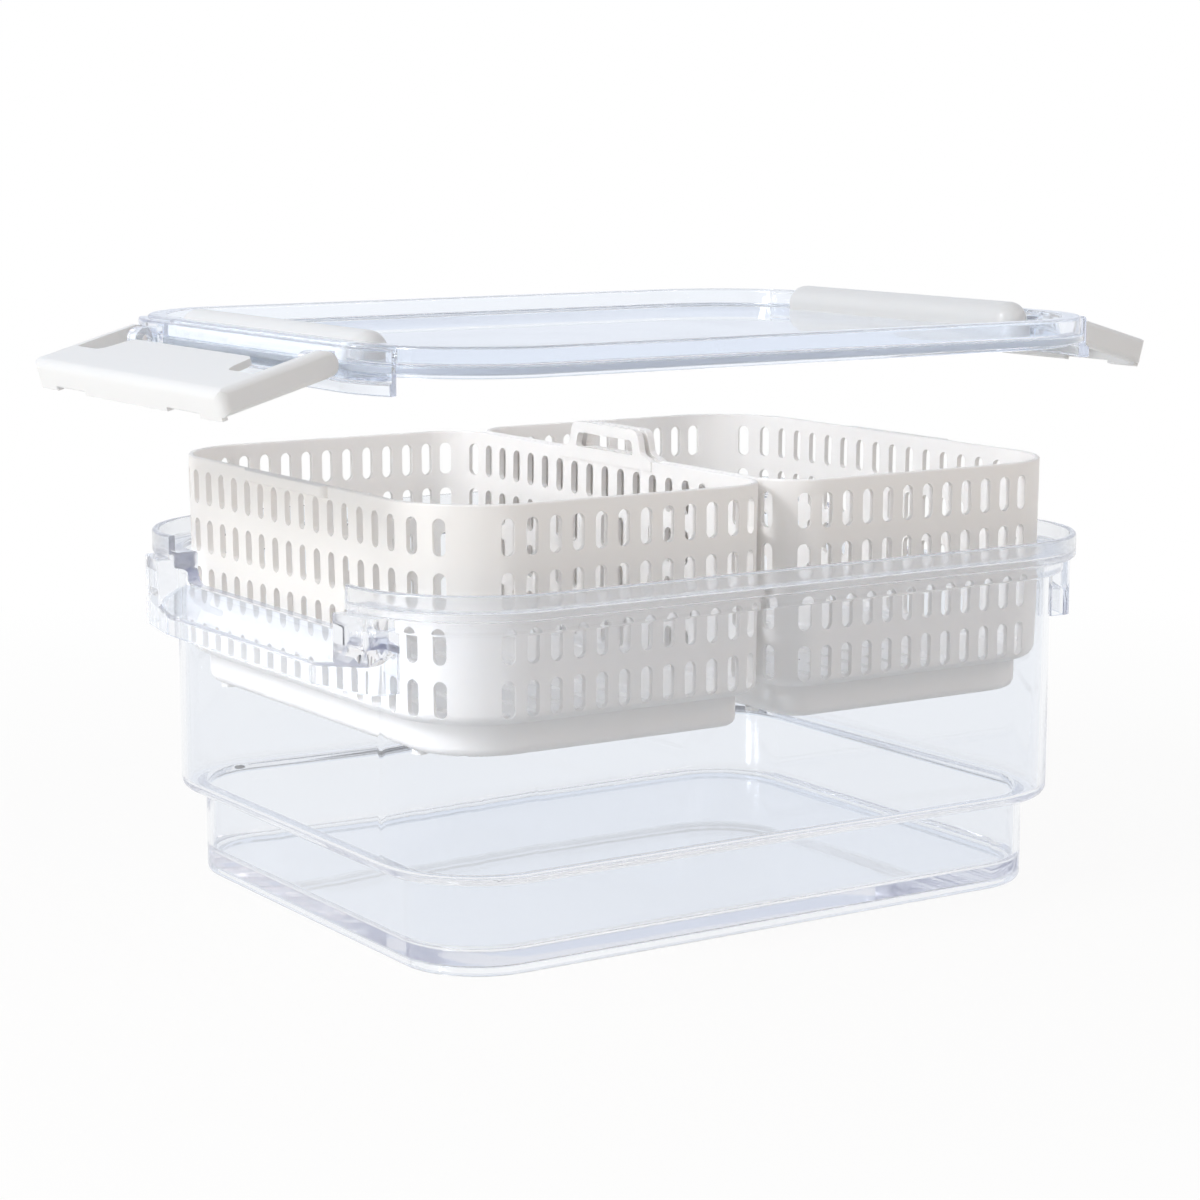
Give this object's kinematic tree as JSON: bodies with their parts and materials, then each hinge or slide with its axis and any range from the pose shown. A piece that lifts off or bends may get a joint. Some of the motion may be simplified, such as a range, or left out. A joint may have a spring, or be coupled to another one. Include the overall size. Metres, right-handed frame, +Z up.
{
  "type": "produce keeper",
  "caption": "Clear stepped food bin with a latching clear lid and perforated white drain baskets that lift out by loop handles.",
  "frame": {"origin": "middle of the bin's underside", "axes": "+Z up, +X along the bin towards the right-hand latch, +Y towards the back"},
  "size_m": [0.3932, 0.242, 0.214],
  "materials": {
    "clear_bin": "clear gloss",
    "clear_lid": "clear gloss",
    "white_basket": "satin",
    "white_trim": "satin",
    "seal": "translucent silicone"
  },
  "bodies": {
    "bin": {"bin": "clear_bin"},
    "basket_left": {"basket_left": "white_basket"},
    "basket_right": {"basket_right": "white_basket"},
    "lid": {"lid": "clear_lid", "lid_seal": "seal", "grip_rail_left": "white_trim", "grip_rail_right": "white_trim"},
    "latch_left": {"latch_left": "white_trim"},
    "latch_right": {"latch_right": "white_trim"}
  },
  "joints": [
    {"name": "basket_left_lift", "type": "slide", "parent": "bin", "child": "basket_left", "axis": [0, 0, 1], "range_m": [-0.05, 0.04]},
    {"name": "basket_right_lift", "type": "slide", "parent": "bin", "child": "basket_right", "axis": [0, 0, 1], "range_m": [-0.05, 0.04]},
    {"name": "lid_lift", "type": "slide", "parent": "basket_left", "child": "lid", "axis": [0, 0, 1], "range_m": [-0.0202, 0.06]},
    {"name": "latch_left_swing", "type": "hinge", "parent": "lid", "child": "latch_left", "pos_m": [-0.15849, 0, 0.204], "axis": [0, 1, 0], "range_deg": [-74, 40]},
    {"name": "latch_right_swing", "type": "hinge", "parent": "lid", "child": "latch_right", "pos_m": [0.15849, 0, 0.204], "axis": [0, -1, 0], "range_deg": [-74, 40]}
  ],
  "couplings": [
    {"joint": "basket_right_lift", "follows": "basket_left_lift", "ratio": 1}
  ]
}
